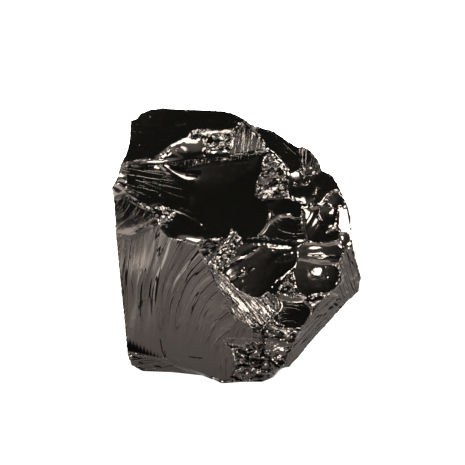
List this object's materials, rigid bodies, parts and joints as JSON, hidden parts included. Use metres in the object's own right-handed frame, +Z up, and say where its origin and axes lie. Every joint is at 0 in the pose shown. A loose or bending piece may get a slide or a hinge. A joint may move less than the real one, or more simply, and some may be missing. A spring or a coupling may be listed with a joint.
{
  "type": "shungite specimen",
  "caption": "Palm-sized piece of glassy black noble shungite with shell-like scars and crumbled ridges, standing on a flat foot as a display stone.",
  "frame": {"origin": "middle of the stone's box at the level of its foot", "axes": "+Z up, the front with the fluted scar looks along -Y, +X to the viewer's right"},
  "size_m": [0.0498, 0.0296, 0.0521],
  "materials": {
    "shungite": "glassy black with a half-metallic shine, silvery where crumbled"
  },
  "bodies": {
    "root": {"stone": "shungite"}
  },
  "joints": []
}
